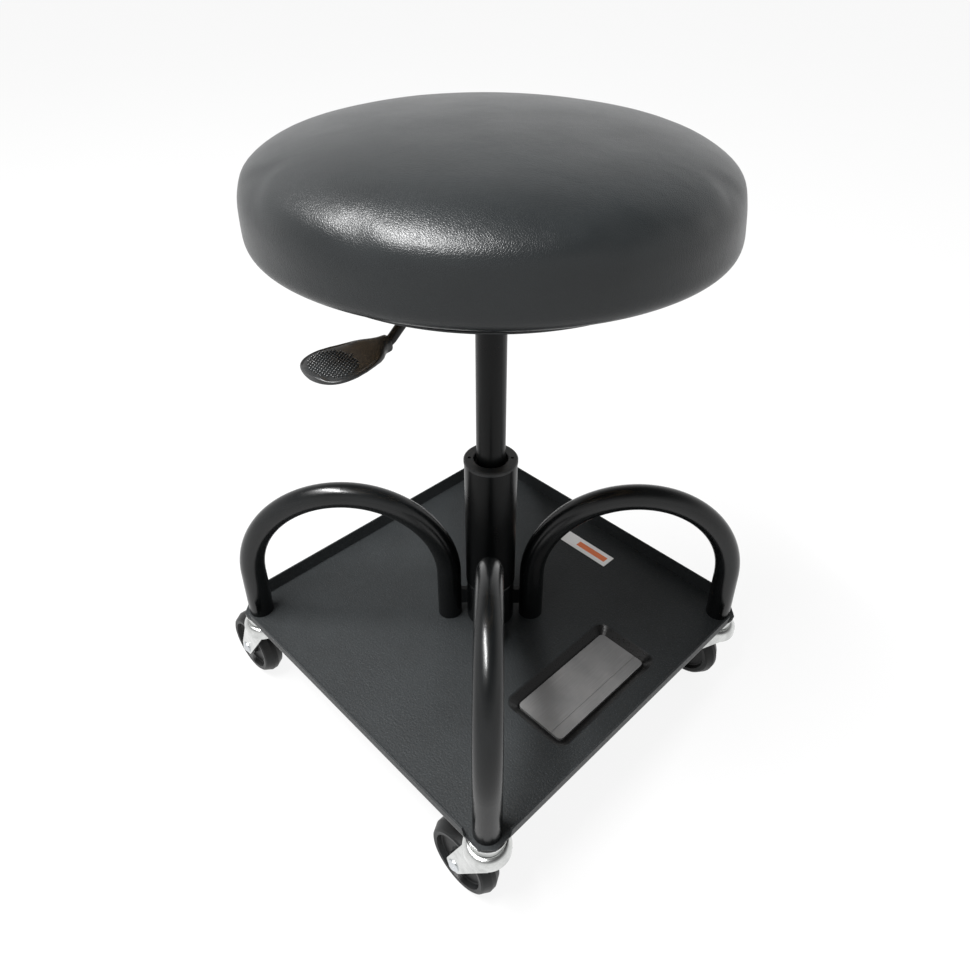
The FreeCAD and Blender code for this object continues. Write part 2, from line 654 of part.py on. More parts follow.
def guide_bush():
    """Plastic guide in the tube's mouth: bevelled flange, open mouth, two small key holes."""
    body = new_body("guide_bush")
    flange = S.bush_flange_dia / 2
    running = S.lift_dia / 2 + S.slide_gap
    revolve(body, [
        (running, BUSH_FOOT), (S.tube_bore / 2, BUSH_FOOT), (S.tube_bore / 2, S.tube_top),
        (flange, S.tube_top), (flange, FLANGE_TOP - S.bush_bevel),
        (flange - S.bush_bevel, FLANGE_TOP), (S.bush_mouth_dia / 2 + 0.6, FLANGE_TOP),
        (S.bush_mouth_dia / 2, FLANGE_TOP - 0.6), (S.bush_mouth_dia / 2, FLANGE_TOP - S.bush_mouth),
        (running, FLANGE_TOP - S.bush_mouth)])
    for side in (-1, 1):
        bore(body, S.notch_place * (side / DIAGONAL), S.notch_place * (side / DIAGONAL),
             S.notch_dia, "XY_Plane", FLANGE_TOP, S.notch_depth)
    return body


def pressure_tube():
    """Sliding cylinder of the gas lift, tapered at the top, with a plug for the valve."""
    outer = S.lift_dia / 2
    inside = outer - S.lift_wall
    plug = S.lift_end - S.lift_plug
    hole = S.pin_dia / 2 + S.slide_gap
    return turned("pressure_tube", [
        (inside, S.lift_foot), (outer - 0.6, S.lift_foot), (outer, S.lift_foot + 0.6),
        (outer, S.lift_end - S.lift_taper), (S.lift_taper_dia / 2, S.lift_end),
        (hole, S.lift_end), (hole, plug), (inside, plug)])


def valve_pin():
    """Release pin in the plug, pushed down by the lever's tongue."""
    radius = S.pin_dia / 2
    top = S.lift_end + S.pin_stand
    return turned("valve_pin", [
        (0, S.lift_end - S.pin_reach), (radius, S.lift_end - S.pin_reach),
        (radius, top - S.pin_crown), (radius - S.pin_crown, top), (0, top)])


def piston_rod():
    """Rod that stands on the thrust bearing; its thinner tail goes through the tube's floor."""
    tail = S.rod_foot_dia / 2
    rod = S.rod_dia / 2
    groove = tail - 0.8
    end = S.tube_foot - S.rod_tail
    clip_top = S.tube_foot - 2
    return turned("piston_rod", [
        (0, end), (tail - 0.8, end), (tail, end + 0.8), (tail, clip_top - S.clip_thick),
        (groove, clip_top - S.clip_thick), (groove, clip_top), (tail, clip_top),
        (tail, ROD_SHOULDER), (rod, ROD_SHOULDER), (rod, PISTON_FOOT), (tail, PISTON_FOOT),
        (tail, PISTON_FOOT + S.piston_length), (0, PISTON_FOOT + S.piston_length)])


def make_lift():
    """All pieces of the gas lift."""
    inside = S.lift_dia - S.lift_wall * 2
    tail_hole = S.rod_foot_dia + S.slide_gap * 2
    clip_top = S.tube_foot - 2
    PARTS.extend([
        outer_tube(), guide_bush(), pressure_tube(), valve_pin(), piston_rod(),
        ring("rod_gland", S.rod_dia + S.slide_gap * 2, inside, S.lift_foot, GLAND_TOP),
        ring("piston", S.rod_foot_dia, inside - S.slide_gap * 2, PISTON_FOOT,
             PISTON_FOOT + S.piston_length),
        ring("lower_thrust_washer", tail_hole, S.washer_dia, TUBE_FLOOR, THRUST_FOOT),
        ring("upper_thrust_washer", S.rod_foot_dia, S.washer_dia, THRUST_TOP, ROD_SHOULDER),
        ball_ring("thrust_balls", 10, S.thrust_ball, S.thrust_circle, length(0), length(0),
                  THRUST_FOOT + S.thrust_ball / 2 + S.roll_gap),
        ring("bumper", S.rod_dia, S.bumper_dia, ROD_SHOULDER, ROD_SHOULDER + S.bumper_tall),
        ring("retaining_clip", S.rod_foot_dia - 1.6, S.clip_dia, clip_top - S.clip_thick,
             clip_top)])


# ---------------------------------------------------------------- seat mechanism

PLATE_FOOT = S.plate_top - S.plate_sheet
SOCKET_FOOT = PLATE_FOOT - S.socket_tall
TONGUE_FOOT = S.lift_end + S.pin_stand + S.tongue_gap


def seat_plate():
    """Square mounting plate with rounded corners and four bolt holes."""
    body = new_body("seat_plate")
    pad(body, rounded_box(0, 0, S.plate_side, S.plate_side, S.plate_corner), "XY_Plane",
        PLATE_FOOT, S.plate_sheet)
    for sx, sy in CORNERS.values():
        bore(body, S.bolt_place * sx, S.bolt_place * sy, S.bolt_dia + 0.6, "XY_Plane",
             S.plate_top, S.plate_sheet * 2)
    return body


def taper_socket():
    """Socket welded under the plate: a taper that grips the lift, a chamber and a side window."""
    body = new_body("taper_socket")
    outer = S.socket_dia / 2
    grip = S.lift_dia / 2
    taper_foot = S.lift_end - S.lift_taper
    revolve(body, [
        (grip, SOCKET_FOOT), (outer - 1, SOCKET_FOOT), (outer, SOCKET_FOOT + 1),
        (outer, PLATE_FOOT), (S.chamber_dia / 2, PLATE_FOOT), (S.chamber_dia / 2, S.lift_end),
        (S.lift_taper_dia / 2, S.lift_end), (grip, taper_foot)])
    sketch = new_sketch(body, "Window", "XZ_Plane")
    draw_outline(sketch, plain_box(S.lever_x, PLATE_FOOT - S.window_tall / 2, S.window_wide,
                                   S.window_tall))
    window = body.newObject("PartDesign::Pocket", "WindowCut")
    window.Profile = sketch
    window.Reversed = True
    window.setExpression("Length", S.socket_dia.text)
    return body


def lever_bracket():
    """Channel under the plate whose two cheeks hold the lever's pivot."""
    body = new_body("lever_bracket")
    inside = S.barrel_wide / 2 + S.cheek_gap
    outside = inside + S.cheek_thick
    foot = PLATE_FOOT - S.cheek_drop
    web = PLATE_FOOT - S.cheek_thick
    x = S.lever_x
    section = [(x - outside, foot), (x - inside, foot), (x - inside, web), (x + inside, web),
               (x + inside, foot), (x + outside, foot), (x + outside, PLATE_FOOT),
               (x - outside, PLATE_FOOT)]
    pad(body, section, "XZ_Plane", S.pivot_y - S.cheek_long / 2, S.cheek_long)
    bore(body, -S.pivot_y, S.pivot_z, S.pivot_dia, "YZ_Plane", x, S.barrel_wide * 3, True)
    return body


def lever_pivot():
    """Pin across the bracket."""
    half = S.barrel_wide / 2 + S.cheek_gap + S.cheek_thick
    radius = S.pivot_dia / 2
    body = turned("lever_pivot", [
        (0, -half - 1.5), (radius + 1.2, -half - 1.5), (radius + 1.2, -half), (radius, -half),
        (radius, half + 1.5), (0, half + 1.5)])
    place(body, S.lever_x, -S.pivot_y, S.pivot_z, FreeCAD.Vector(0, 1, 0), 90)
    return body


def lever_rod():
    """Bent rod: a pivot barrel with a flat tongue inwards, then out, down and out again."""
    body = new_body("lever_rod")
    level_end = -(S.pivot_y + S.lever_level)
    slope_end = level_end - S.lever_slope
    low = S.pivot_z - S.lever_drop
    section = new_sketch(body, "Section", "XZ_Plane", S.pivot_y)
    draw_circle(section, S.lever_x, S.pivot_z, S.lever_dia)
    path = new_sketch(body, "Path", "YZ_Plane", S.lever_x)
    lean = math.atan2(S.lever_drop.value, S.lever_slope.value)
    back = S.lever_bend * math.tan(lean / 2)
    along_y, along_z = back * math.cos(lean), back * math.sin(lean)
    draw_outline(path, [
        (-S.pivot_y, S.pivot_z), (level_end + back, S.pivot_z, S.lever_bend),
        (level_end - along_y, S.pivot_z - along_z), (slope_end + along_y, low + along_z,
                                                     -S.lever_bend),
        (slope_end - back, low), (slope_end - S.lever_grip, low)], False)
    pipe = body.newObject("PartDesign::AdditivePipe", "Bent")
    pipe.Profile = section
    pipe.Spine = (path, ["Edge%d" % i for i in range(1, 6)])
    barrel = new_sketch(body, "Barrel", "YZ_Plane", S.lever_x)
    draw_circle(barrel, -S.pivot_y, S.pivot_z, S.barrel_dia)
    turned_barrel = body.newObject("PartDesign::Pad", "PivotBarrel")
    turned_barrel.Profile = barrel
    turned_barrel.Midplane = True
    turned_barrel.setExpression("Length", S.barrel_wide.text)
    reach = S.pivot_y + S.tongue_reach
    pad(body, plain_box(S.lever_x, -S.pivot_y + reach / 2, S.tongue_wide, reach), "XY_Plane",
        TONGUE_FOOT, S.tongue_thick)
    bore(body, -S.pivot_y, S.pivot_z, S.pivot_dia + S.slide_gap * 2, "YZ_Plane", S.lever_x,
         S.barrel_wide * 2, True)
    return body


def paddle_outline(inset, tail):
    """Leaf from a narrow neck to a round tip, inset all over and cut off tail from the neck."""
    wide = S.paddle_wide / 2 - inset
    neck = S.paddle_neck / 2 - inset
    start = -S.paddle_start - tail
    full = -S.paddle_start - S.paddle_length + S.paddle_wide / 2
    middle = S.lever_x
    return [(middle - neck, start, S.paddle_flank), (middle - wide, full, wide),
            (middle, full - wide, wide), (middle + wide, full, S.paddle_flank),
            (middle + neck, start)]


def lever_paddle():
    """Moulded leaf-shaped paddle on the rod's end, with a sunk field for the grip."""
    body = new_body("lever_paddle")
    level = S.pivot_z - S.lever_drop - S.paddle_thick / 2
    leaf = pad(body, paddle_outline(length(0), length(0)), "XY_Plane", level, S.paddle_thick)
    round_edges(body, leaf, S.paddle_round, lambda edge: edge.BoundBox.ZLength < 1e-6)
    sketch = new_sketch(body, "Field", "XY_Plane", level + S.paddle_thick)
    draw_outline(sketch, paddle_outline(S.paddle_rim + S.paddle_round, S.paddle_tail))
    field = body.newObject("PartDesign::Pocket", "GripField")
    field.Profile = sketch
    field.setExpression("Length", S.paddle_field.text)
    rod_end = S.pivot_y + S.lever_level + S.lever_slope + S.lever_grip
    bore(body, S.lever_x, S.pivot_z - S.lever_drop, S.lever_dia, "XZ_Plane", rod_end,
         S.lever_grip * 2)
    return body


def fasteners():
    """Four bolts up through the plate, and the four barbed nuts in the board that take them."""
    bolts = []
    nuts = []
    for sx, sy in CORNERS.values():
        shank = S.bolt_dia / 2
        head = S.bolt_head_dia / 2
        bolt = turned("seat_bolt", [
            (0, PLATE_FOOT - S.bolt_head), (head - 1, PLATE_FOOT - S.bolt_head),
            (head, PLATE_FOOT - S.bolt_head + 1), (head, PLATE_FOOT), (shank, PLATE_FOOT),
            (shank, PLATE_FOOT + S.bolt_length), (0, PLATE_FOOT + S.bolt_length)])
        place(bolt, S.bolt_place * sx, S.bolt_place * sy)
        bolts.append(bolt)
        barrel = S.nut_barrel_dia / 2
        flange = S.nut_flange_dia / 2
        top = S.plate_top + S.board_thick
        nut = turned("seat_nut", [
            (shank, S.plate_top + 1), (barrel, S.plate_top + 1), (barrel, top - S.nut_flange),
            (flange, top - S.nut_flange), (flange, top), (shank, top)])
        place(nut, S.bolt_place * sx, S.bolt_place * sy)
        nuts.append(nut)
    for name, pieces in (("seat_bolts", bolts), ("seat_nuts", nuts)):
        group = DOC.addObject("Part::Compound", name)
        group.Links = pieces
        group.Label = name
        PARTS.append(group)


# ---------------------------------------------------------------- seat

SEAT_FOOT = S.plate_top - S.cover_thick


def seat_board():
    """Plywood disc with stepped holes for the barbed nuts."""
    body = new_body("seat_board")
    radius = S.seat_dia / 2 - S.board_inset
    top = S.plate_top + S.board_thick
    revolve(body, [(0, S.plate_top), (radius, S.plate_top), (radius, top), (0, top)])
    for sx, sy in CORNERS.values():
        x, y = S.bolt_place * sx, S.bolt_place * sy
        bore(body, x, y, S.nut_barrel_dia, "XY_Plane", top, S.board_thick * 2)
        bore(body, x, y, S.nut_flange_dia, "XY_Plane", top, S.nut_flange)
    return body


def seat_outline(inset):
    """Points (r, z) and arcs of the seat's side and crown, inset all over."""
    foot = SEAT_FOOT + inset
    side = S.seat_dia / 2 - inset
    shoulder = S.seat_dia / 2 - S.shoulder_inset - inset * 0.6
    return [(S.seat_dia / 2 - S.hem_inset, foot, S.side_low_round - inset),
            (side, SEAT_FOOT + S.seat_widest, S.side_high_round - inset),
            (shoulder, SEAT_FOOT + S.shoulder_tall - inset * 0.8, DOME),
            (0, SEAT_FOOT + S.seat_tall - inset)]


def seat_foam():
    """Crowned foam that sits on the board and wraps its rim."""
    inset = S.cover_thick + S.cover_gap
    rim = S.seat_dia / 2 - S.board_inset + S.cover_gap
    top = S.plate_top + S.board_thick + S.cover_gap
    return turned("seat_foam", [(0, top), (rim, top), (rim, SEAT_FOOT + inset)]
                  + seat_outline(inset))


def seat_cover():
    """Vinyl skin over the crown and sides, turned in under the board as a hem."""
    hem = S.seat_dia / 2 - S.hem_turn
    outer = seat_outline(length(0))
    (low_r, low_z, low_bend), (side_r, side_z, side_bend), (top_r, top_z, _), peak = \
        seat_outline(S.cover_thick)
    back = [(peak[0], peak[1], BOWL), (top_r, top_z, -side_bend), (side_r, side_z, -low_bend),
            (low_r, low_z)]
    return turned("seat_cover", [(hem, SEAT_FOOT)] + outer + back
                  + [(hem, SEAT_FOOT + S.cover_thick)])


# ---------------------------------------------------------------- build and write


def check_document():
    """Stop on any failed feature or unsound shape."""
    faults = ["failed feature: " + obj.FullName + " of " + ", ".join(o.Label for o in obj.InList)
              for obj in DOC.Objects if "Invalid" in obj.State or "Error" in obj.State]
    faults += ["unsound shape: " + part.Label for part in PARTS
               if part.Shape.isNull() or not part.Shape.isValid() or part.Shape.Volume <= 0]
    if faults:
        raise RuntimeError("; ".join(faults))


def write_parts():
    """Write each sub-part under its own name."""
    os.makedirs("parts", exist_ok=True)
    for part in PARTS:
        part.Shape.exportStep("parts/%s.step" % part.Label)
        print("%-24s %2d solids %12.1f mm3" % (part.Label, len(part.Shape.Solids),
                                              part.Shape.Volume))


make_casters()
PARTS.extend([tray(), dish_pad(), label(), leg_inserts(), hub()])
for number, corner_name in enumerate(("right", "back", "left", "front")):
    PARTS.append(arch(corner_name + "_arch", 45 + 90 * number))
make_lift()
PARTS.extend([seat_plate(), taper_socket(), lever_bracket(), lever_pivot(), lever_rod(),
              lever_paddle(), seat_board(), seat_foam(), seat_cover()])
fasteners()
DOC.recompute()
check_document()
write_parts()
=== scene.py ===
import math

import bmesh
import bpy
from mathutils import Matrix, Vector, noise
from mathutils.kdtree import KDTree
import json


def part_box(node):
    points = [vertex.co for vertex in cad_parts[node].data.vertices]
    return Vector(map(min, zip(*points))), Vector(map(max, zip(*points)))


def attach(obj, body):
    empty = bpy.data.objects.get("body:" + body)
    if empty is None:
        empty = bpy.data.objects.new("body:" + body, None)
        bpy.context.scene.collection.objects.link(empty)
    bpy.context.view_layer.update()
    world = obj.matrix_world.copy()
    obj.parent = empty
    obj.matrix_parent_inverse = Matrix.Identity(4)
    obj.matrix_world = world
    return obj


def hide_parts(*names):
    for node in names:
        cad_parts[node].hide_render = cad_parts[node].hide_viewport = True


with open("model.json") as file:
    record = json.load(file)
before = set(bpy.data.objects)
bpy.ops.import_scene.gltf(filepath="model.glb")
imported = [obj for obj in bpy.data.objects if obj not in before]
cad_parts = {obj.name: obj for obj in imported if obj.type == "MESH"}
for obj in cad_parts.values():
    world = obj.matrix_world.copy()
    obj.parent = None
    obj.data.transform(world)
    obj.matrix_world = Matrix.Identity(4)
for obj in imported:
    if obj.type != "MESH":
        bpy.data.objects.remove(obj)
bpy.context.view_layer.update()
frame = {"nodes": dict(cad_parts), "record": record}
NODES = frame["nodes"]

# ------------------------------------------------------------------ node helpers


class Tree:
    """Short calls for building one material's node tree."""

    def __init__(self, name):
        self.material = bpy.data.materials.new(name)
        self.material.use_nodes = True
        self.nodes = self.material.node_tree.nodes
        self.links = self.material.node_tree.links
        self.shader = self.nodes["Principled BSDF"]
        coords = self.nodes.new("ShaderNodeTexCoord")
        self.place = coords.outputs["Object"]

    def add(self, kind, **sockets):
        node = self.nodes.new(kind)
        for key, value in sockets.items():
            self.put(node, key.replace("_", " "), value)
        return node

    def put(self, node, key, value):
        socket = node.inputs[key]
        if isinstance(value, bpy.types.NodeSocket):
            self.links.new(value, socket)
        else:
            socket.default_value = value

    def set(self, **sockets):
        for key, value in sockets.items():
            self.put(self.shader, key.replace("_", " "), value)

    def noise(self, scale, detail=2.0, rough=0.5, distort=0.0, place=None):
        node = self.add("ShaderNodeTexNoise", Vector=place or self.place, Scale=scale,
                        Detail=detail, Roughness=rough, Distortion=distort)
        return node.outputs["Fac"]

    def cells(self, scale, feature="F1", place=None):
        node = self.nodes.new("ShaderNodeTexVoronoi")
        node.feature = feature
        self.put(node, "Vector", place or self.place)
        self.put(node, "Scale", scale)
        return node.outputs["Distance"]

    def stretched(self, x, y, z):
        node = self.add("ShaderNodeMapping", Vector=self.place, Scale=(x, y, z))
        return node.outputs["Vector"]

    def ramp(self, value, low, high, out_low=0.0, out_high=1.0):
        node = self.add("ShaderNodeMapRange", Value=value)
        self.put(node, "From Min", low)
        self.put(node, "From Max", high)
        self.put(node, "To Min", out_low)
        self.put(node, "To Max", out_high)
        return node.outputs["Result"]

    def math(self, kind, a, b=0.0):
        node = self.nodes.new("ShaderNodeMath")
        node.operation = kind
        for index, value in enumerate((a, b)):
            if isinstance(value, bpy.types.NodeSocket):
                self.links.new(value, node.inputs[index])
            else:
                node.inputs[index].default_value = value
        return node.outputs["Value"]

    def mix(self, factor, first, second):
        node = self.nodes.new("ShaderNodeMix")
        node.data_type = "RGBA"
        for index, value in ((0, factor), (6, first), (7, second)):
            if isinstance(value, bpy.types.NodeSocket):
                self.links.new(value, node.inputs[index])
            else:
                node.inputs[index].default_value = value
        return node.outputs[2]

    def axis(self, which):
        node = self.add("ShaderNodeSeparateXYZ", Vector=self.place)
        return node.outputs[which]

    def bump(self, *layers):
        """layers are (height, strength, distance) from the coarsest to the finest."""
        normal = None
        for height, strength, distance in layers:
            node = self.add("ShaderNodeBump", Height=height, Strength=strength,
                            Distance=distance)
            if normal is not None:
                self.put(node, "Normal", normal)
            normal = node.outputs["Normal"]
        self.put(self.shader, "Normal", normal)


def grey(level, tint=(1.0, 1.0, 1.0)):
    return (level * tint[0], level * tint[1], level * tint[2], 1.0)


# ------------------------------------------------------------------ materials

COOL = (0.86, 1.0, 1.07)         # the blacks' slight lean to blue-green
TRAY_FACE = 0.110                # height of the tray's upper face
DISH_SHADE_DEPTH = 0.0012               # depth over which the sunken dish gets a painted shade
VINYL_WARP = (0.004, 0.004, 0.004)


def vinyl():
    """Soft black vinyl: leather grain with painted shade in its grooves, a faint bloom of dust
    and wear.
    """
    t = Tree("vinyl_black")
    drift = t.nodes.new("ShaderNodeVectorMath")
    drift.operation = "MULTIPLY_ADD"
    t.links.new(t.noise(60, 2), drift.inputs[0])
    drift.inputs[1].default_value = VINYL_WARP
    t.links.new(t.place, drift.inputs[2])
    pebble = t.cells(620, "DISTANCE_TO_EDGE", drift.outputs["Vector"])
    crease = t.ramp(pebble, 0.0, 0.22)
    fine = t.noise(2600, 2, 0.6)
    soft = t.noise(22, 3, 0.55)
    bloom = t.noise(9, 4, 0.6)
    colour = t.mix(t.ramp(bloom, 0.35, 0.75), grey(0.0095, COOL), grey(0.0145, COOL))
    # painted shade: the colour is pulled towards a darker grey in the grain's grooves
    colour = t.mix(t.ramp(crease, 0.0, 1.0, 0.35, 0.0), colour, grey(0.010, COOL))
    t.set(Base_Color=colour, Roughness=t.ramp(soft, 0.3, 0.7, 0.31, 0.35))
    t.set(Specular_IOR_Level=0.34)
    t.bump((soft, 0.12, 0.004), (crease, 0.30, 0.00022), (fine, 0.22, 0.00010))
    return t.material


def powder_coat():
    """Fine pebbled charcoal powder coat of the tray, with painted shade darkening the sunken
    dish.
    """
    t = Tree("powder_coat_charcoal")
    coarse = t.noise(520, 3, 0.62)
    fine = t.noise(1500, 2, 0.6)
    cloud = t.noise(14, 4, 0.6)
    speck = t.ramp(t.noise(900, 1, 0.5), 0.60, 0.72)
    colour = t.mix(t.ramp(cloud, 0.3, 0.7), grey(0.0115, COOL), grey(0.0160, COOL))
    colour = t.mix(t.math("MULTIPLY", speck, 0.35), colour, grey(0.075, COOL))
    pad_low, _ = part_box("magnet_pad")
    height = t.axis("Z")
    shaded_dish = t.ramp(height, TRAY_FACE - DISH_SHADE_DEPTH, TRAY_FACE - 0.0002, 1.0, 0.0)
    shaded_dish = t.math("MULTIPLY", shaded_dish, t.math("GREATER_THAN", height, pad_low.z - 0.0005))
    # painted shade: the dish's sunken surfaces are darkened to near black
    colour = t.mix(shaded_dish, colour, grey(0.0030))
    rough = t.ramp(coarse, 0.3, 0.7, 0.48, 0.62)
    rough = t.math("SUBTRACT", rough, t.math("MULTIPLY", shaded_dish, 0.24))
    t.set(Base_Color=colour, Roughness=rough)
    t.set(Specular_IOR_Level=0.30)
    face = t.ramp(height, TRAY_FACE - 0.0003, TRAY_FACE - 0.00004)
    t.bump((cloud, 0.05, 0.004), (t.math("MULTIPLY", coarse, face), 0.75, 0.0006),
           (t.math("MULTIPLY", fine, face), 0.40, 0.0002))
    return t.material


def tube_paint(name, level, rough, grain, specular):
    """Semi-gloss black paint on tube, with a light orange peel."""
    t = Tree(name)
    peel = t.noise(700, 3, 0.6)
    wave = t.noise(120, 2, 0.5)
    handled = t.noise(30, 4, 0.6)
    colour = t.mix(t.ramp(handled, 0.35, 0.7), grey(level, COOL), grey(level * 1.6, COOL))
    t.set(Base_Color=colour, Roughness=t.ramp(handled, 0.3, 0.7, rough, rough + 0.05))
    t.set(Specular_IOR_Level=specular)
    t.bump((wave, 0.05, 0.001), (peel, grain, 0.0002))
    return t.material


def plastic(name, level, rough, grain, scale=1400, specular=0.45):
    """Moulded black plastic or hard rubber with a fine spark-eroded grain."""
    t = Tree(name)
    fine = t.noise(scale, 2, 0.6)
    dust = t.noise(45, 4, 0.65)
    colour = t.mix(t.ramp(dust, 0.4, 0.75), grey(level), grey(level * 1.5, COOL))
    t.set(Base_Color=colour, Roughness=t.ramp(dust, 0.3, 0.7, rough, rough + 0.09))
    t.set(Specular_IOR_Level=specular)
    t.bump((fine, grain, 0.00015))
    return t.material


def metal(name, colour, rough, brushed=(1, 1, 1), scale=900, stain=0.0, grain=0.12):
    """Plated or bare metal: a drawn grain, small marks and a little tarnish."""
    t = Tree(name)
    marks = t.noise(scale, 3, 0.6, place=t.stretched(*brushed))
    cloud = t.noise(70, 4, 0.65)
    dull = tuple(c * 0.62 for c in colour) + (1.0,)
    tone = t.mix(t.ramp(cloud, 0.42, 0.78, 0.0, stain), tuple(colour) + (1.0,), dull)
    t.set(Base_Color=tone, Metallic=1.0, Roughness=t.ramp(cloud, 0.3, 0.75, rough, rough + 0.12))
    t.bump((marks, grain, 0.0002))
    return t.material


def magnet_steel():
    """Dull grey steel face, drawn along the dish, with a hairline of wear."""
    t = Tree("magnet_face_grey")
    drawn = t.noise(400, 3, 0.6, place=t.stretched(3, 0.08, 1))
    cloud = t.noise(26, 3, 0.6)
    colour = t.mix(t.ramp(cloud, 0.35, 0.7), grey(0.155), grey(0.200, (1.0, 0.99, 0.985)))
    colour = t.mix(t.ramp(drawn, 0.35, 0.7, 0.0, 0.25), colour, grey(0.08))
    t.set(Base_Color=colour, Metallic=0.25, Roughness=t.ramp(cloud, 0.3, 0.7, 0.30, 0.40))
    t.bump((drawn, 0.10, 0.00008))
    return t.material


def sticker(low, high):
    """Blank white sticker with one plain orange band and no lettering."""
    t = Tree("sticker_white")
    along = t.ramp(t.axis("X"), low.x, high.x)
    across = t.ramp(t.axis("Y"), low.y, high.y)
    inside = t.math("MULTIPLY", t.math("GREATER_THAN", along, 0.34),
                    t.math("LESS_THAN", along, 0.93))
    inside = t.math("MULTIPLY", inside, t.math("GREATER_THAN", across, 0.30))
    inside = t.math("MULTIPLY", inside, t.math("LESS_THAN", across, 0.72))
    fibre = t.noise(900, 3, 0.6)
    paper = t.mix(t.ramp(fibre, 0.35, 0.7), grey(0.66), grey(0.74, (1.0, 0.99, 0.97)))
    band = t.mix(t.ramp(fibre, 0.3, 0.8), (0.62, 0.13, 0.035, 1), (0.70, 0.18, 0.05, 1))
    t.set(Base_Color=t.mix(inside, paper, band), Roughness=t.ramp(fibre, 0.3, 0.7, 0.32, 0.42))
    t.bump((fibre, 0.05, 0.00005))
    return t.material


def plywood():
    """Bare plywood: pale grain on the face and dark glue lines on the edge."""
    t = Tree("plywood")
    grain = t.noise(18, 5, 0.65, 1.2, t.stretched(1, 14, 8))
    plies = t.add("ShaderNodeMath", Value=t.math("MULTIPLY", t.axis("Z"), 2600.0))
    plies.operation = "SINE"
    colour = t.mix(t.ramp(grain, 0.3, 0.7), (0.46, 0.31, 0.17, 1), (0.62, 0.46, 0.28, 1))
    colour = t.mix(t.ramp(plies.outputs["Value"], 0.5, 1.0, 0.0, 0.35), colour,
                   (0.22, 0.13, 0.07, 1))
    t.set(Base_Color=colour, Roughness=t.ramp(grain, 0.3, 0.7, 0.62, 0.78))
    t.bump((grain, 0.15, 0.0006))
    return t.material


def foam():
    """Open-cell cushion foam, with painted shade in its pores."""
    t = Tree("foam")
    pores = t.cells(900)
    # painted shade: darker in the pores, where the bump sinks
    colour = t.mix(t.ramp(pores, 0.1, 0.7), (0.42, 0.38, 0.22, 1), (0.62, 0.57, 0.38, 1))
    t.set(Base_Color=colour, Roughness=0.95)
    t.bump((pores, 0.4, 0.0006))
    return t.material


label_low, label_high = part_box("label")
VINYL = vinyl()
TRAY = powder_coat()
ARCH = tube_paint("arch_paint_black", 0.0028, 0.22, 0.24, 0.36)
COLUMN = tube_paint("column_paint_black", 0.0015, 0.27, 0.08, 0.16)
PLATE = tube_paint("plate_black", 0.0080, 0.42, 0.14, 0.4)
PLASTIC = plastic("paddle_plastic", 0.010, 0.34, 0.18)
# the grip dots' base colour, lighter than the paddle's, is a painted highlight; their lower
# roughness and higher specular are real gloss
LIT_DOTS = plastic("grip_dot_plastic_painted_highlight", 0.022, 0.24, 0.05, 1400, 0.7)
BUSH = plastic("bush_plastic", 0.008, 0.42, 0.12)
WHEEL = plastic("wheel_black", 0.0065, 0.36, 0.16, 900, 0.18)
RUBBER = plastic("bumper_rubber", 0.014, 0.7, 0.3, 900)
CHROME = metal("caster_chrome", (0.66, 0.67, 0.66), 0.17, stain=0.8, grain=0.10)
ZINC = metal("zinc", (0.66, 0.68, 0.70), 0.30, stain=0.7)
STEEL = metal("bearing_steel", (0.70, 0.70, 0.69), 0.16)
LEVER = tube_paint("lever_rod_black", 0.0025, 0.30, 0.05, 0.25)
MAGNET = magnet_steel()
STICKER = sticker(label_low, label_high)
WOOD = plywood()
FOAM = foam()
BRONZE = metal("bronze", (0.62, 0.42, 0.20), 0.32, stain=0.6)

BY_SLOT = {
    "seat_vinyl": VINYL, "foam": FOAM, "plywood": WOOD, "frame_black": ARCH,
    "tray_black": TRAY, "column_black": COLUMN, "plate_black": PLATE, "bush_plastic": BUSH,
    "paddle_plastic": PLASTIC, "wheel_black": WHEEL, "bumper_rubber": RUBBER,
    "caster_chrome": CHROME, "zinc": ZINC, "bearing_steel": STEEL, "lever_steel": LEVER,
    "magnet_face": MAGNET, "label_white": STICKER, "bronze": BRONZE}

slot_of = {entry["node"]: entry["material_slot"] for entry in frame["record"]["subparts"]}


def dress(node, material):
    """Give every material slot of a carried-over node one material."""
    slots = NODES[node].material_slots
    if not slots:
        NODES[node].data.materials.append(material)
    for slot in slots:
        slot.material = material


for node_name in NODES:
    dress(node_name, BY_SLOT[slot_of[node_name]])

# ------------------------------------------------------------------ stage, light, camera

FLOOR_HALF = 14.0
FLOOR_GLOW = 0.88                # share of plain white in the floor that rays see directly
FILL = 0.62                      # the surround's diffuse light
MIRRORED_SKY = (0.30, 0.80, 1.0, 0.12)    # low and high Z, and the strength at each
LAMP_AIM = Vector((0, 0, 0.35))
LAMP_DISTANCE = 2.4

CAMERA_PLACE = (0.4440, -0.4378, 0.7685)
CAMERA_RIGHT = (0.7086, 0.7055, 0.0109)
CAMERA_UP = (-0.4010, 0.3900, 0.8289)
CAMERA_BACK = (0.5806, -0.5918, 0.5592)
CAMERA_LENS = 29.98
CAMERA_SHIFT = (-0.0176, -0.0572)


